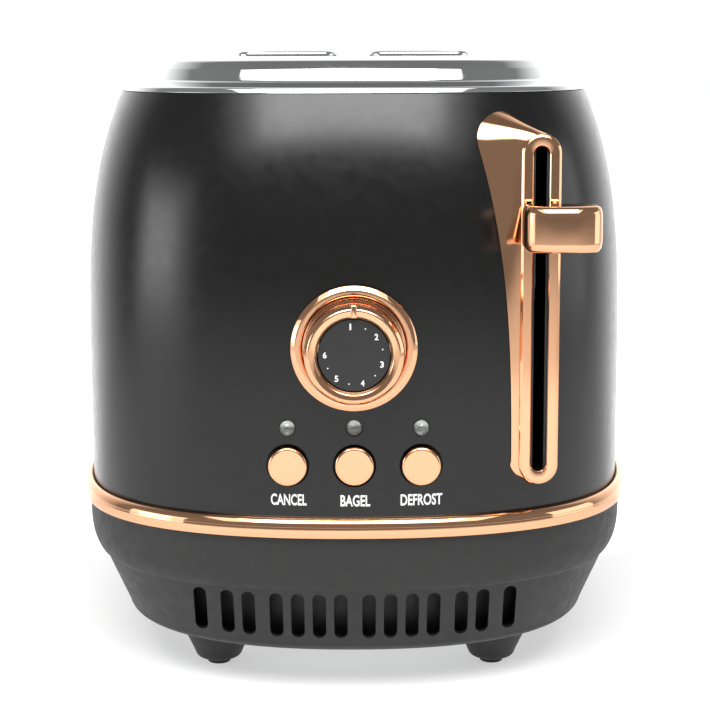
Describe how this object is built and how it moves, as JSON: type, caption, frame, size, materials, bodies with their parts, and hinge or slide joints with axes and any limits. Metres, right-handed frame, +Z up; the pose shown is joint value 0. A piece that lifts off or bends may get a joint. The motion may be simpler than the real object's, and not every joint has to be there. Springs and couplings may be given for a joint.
{
  "type": "pop-up toaster",
  "caption": "Pop-up toaster with a satin black body, chrome top, copper-coloured trim band, lever, dial and buttons, side-by-side bread slots and a vented black base.",
  "frame": {"origin": "on the table, under the middle of the overall length and width", "axes": "+Z up; +Y from the control end to the rear end, along the bread slots; +X to the right of somebody facing the control end"},
  "size_m": [0.196, 0.3156, 0.2106],
  "materials": {
    "base_plastic": "fine moulded texture",
    "body_paint": "satin black powder coat",
    "copper_plate": "polished copper-coloured plating",
    "chrome_sheet": "polished",
    "rubber": "matt",
    "zinc_steel": "bright zinc-coated sheet",
    "guard_wire": "bright drawn wire",
    "mica": "laminated mica sheet",
    "heating_alloy": "oxidised flat resistance wire",
    "bushing_plastic": "self-lubricating moulding",
    "dark_plastic": "moulded black",
    "coil_copper": "enamelled winding",
    "board": "solder-masked board",
    "clear_lens": "clear moulded lens"
  },
  "bodies": {
    "casing": {"base_housing": "base_plastic", "bottom_plate": "zinc_steel", "foot_front_left": "rubber", "foot_front_right": "rubber", "foot_rear_left": "rubber", "foot_rear_right": "rubber", "base_screws": "zinc_steel", "body_shell": "body_paint", "trim_band": "copper_plate", "top_cover": "chrome_sheet", "slot_collar_left": "chrome_sheet", "slot_collar_right": "chrome_sheet", "tray_rails": "zinc_steel", "chassis_pan": "zinc_steel", "front_frame": "zinc_steel", "rear_frame": "zinc_steel", "heat_shield_left": "zinc_steel", "heat_shield_right": "zinc_steel", "element_card_left": "mica", "element_card_centre": "mica", "element_card_right": "mica", "heating_ribbon_left": "heating_alloy", "heating_ribbon_centre": "heating_alloy", "heating_ribbon_right": "heating_alloy", "lever_escutcheon": "copper_plate", "slot_seal": "dark_plastic", "guide_rod": "guard_wire", "rod_bracket": "zinc_steel", "lift_spring": "zinc_steel", "magnet_core": "zinc_steel", "magnet_coil": "coil_copper", "switch_contacts": "dark_plastic", "control_carrier": "base_plastic", "control_board": "board", "tact_switches": "dark_plastic", "dial_flange": "copper_plate", "dial_face": "dark_plastic", "potentiometer_body": "dark_plastic", "indicator_cancel": "clear_lens", "indicator_bagel": "clear_lens", "indicator_defrost": "clear_lens", "cord_gland": "rubber"},
    "carriage": {"carriage_bracket": "zinc_steel", "carriage_bushing": "bushing_plastic", "armature_plate": "zinc_steel", "lever_arm": "zinc_steel", "lever_knob": "copper_plate", "bread_rack_left": "zinc_steel", "bread_rack_right": "zinc_steel"},
    "dial": {"dial_ring": "copper_plate", "potentiometer_shaft": "bushing_plastic"},
    "cancel_button": {"button_cancel": "copper_plate"},
    "bagel_button": {"button_bagel": "copper_plate"},
    "defrost_button": {"button_defrost": "copper_plate"},
    "guard_left_outer": {"bread_guard_left_outer": "guard_wire"},
    "guard_left_inner": {"bread_guard_left_inner": "guard_wire"},
    "guard_right_inner": {"bread_guard_right_inner": "guard_wire"},
    "guard_right_outer": {"bread_guard_right_outer": "guard_wire"},
    "tray": {"crumb_tray": "zinc_steel", "tray_handle": "base_plastic"}
  },
  "joints": [
    {"name": "carriage_slide", "type": "slide", "parent": "casing", "child": "carriage", "axis": [0, 0, -1], "range_m": [-0.016, 0.07], "stiffness_N_per_m": 110, "springref_m": -0.0136, "deforming": ["lift_spring"]},
    {"name": "dial_turn", "type": "hinge", "parent": "casing", "child": "dial", "pos_m": [0, -0.15, 0.1185], "axis": [0, 1, 0], "range_deg": [-7, 271]},
    {"name": "cancel_press", "type": "slide", "parent": "casing", "child": "cancel_button", "axis": [0, 1, 0], "range_m": [0, 0.0015], "stiffness_N_per_m": 900, "springref_m": -0.001},
    {"name": "bagel_press", "type": "slide", "parent": "casing", "child": "bagel_button", "axis": [0, 1, 0], "range_m": [0, 0.0015], "stiffness_N_per_m": 900, "springref_m": -0.001},
    {"name": "defrost_press", "type": "slide", "parent": "casing", "child": "defrost_button", "axis": [0, 1, 0], "range_m": [0, 0.0015], "stiffness_N_per_m": 900, "springref_m": -0.001},
    {"name": "guard_left_outer_lean", "type": "slide", "parent": "casing", "child": "guard_left_outer", "axis": [1, 0, 0], "range_m": [-0.001, 0.004]},
    {"name": "guard_left_inner_lean", "type": "slide", "parent": "casing", "child": "guard_left_inner", "axis": [-1, 0, 0], "range_m": [-0.001, 0.004]},
    {"name": "guard_right_inner_lean", "type": "slide", "parent": "casing", "child": "guard_right_inner", "axis": [1, 0, 0], "range_m": [-0.001, 0.004]},
    {"name": "guard_right_outer_lean", "type": "slide", "parent": "casing", "child": "guard_right_outer", "axis": [-1, 0, 0], "range_m": [-0.001, 0.004]},
    {"name": "tray_pull", "type": "slide", "parent": "casing", "child": "tray", "axis": [0, 1, 0], "range_m": [0, 0.215]}
  ],
  "couplings": [
    {"joint": "guard_left_outer_lean", "follows": "carriage_slide", "ratio": 0.057143},
    {"joint": "guard_left_inner_lean", "follows": "carriage_slide", "ratio": 0.057143},
    {"joint": "guard_right_inner_lean", "follows": "carriage_slide", "ratio": 0.057143},
    {"joint": "guard_right_outer_lean", "follows": "carriage_slide", "ratio": 0.057143}
  ]
}
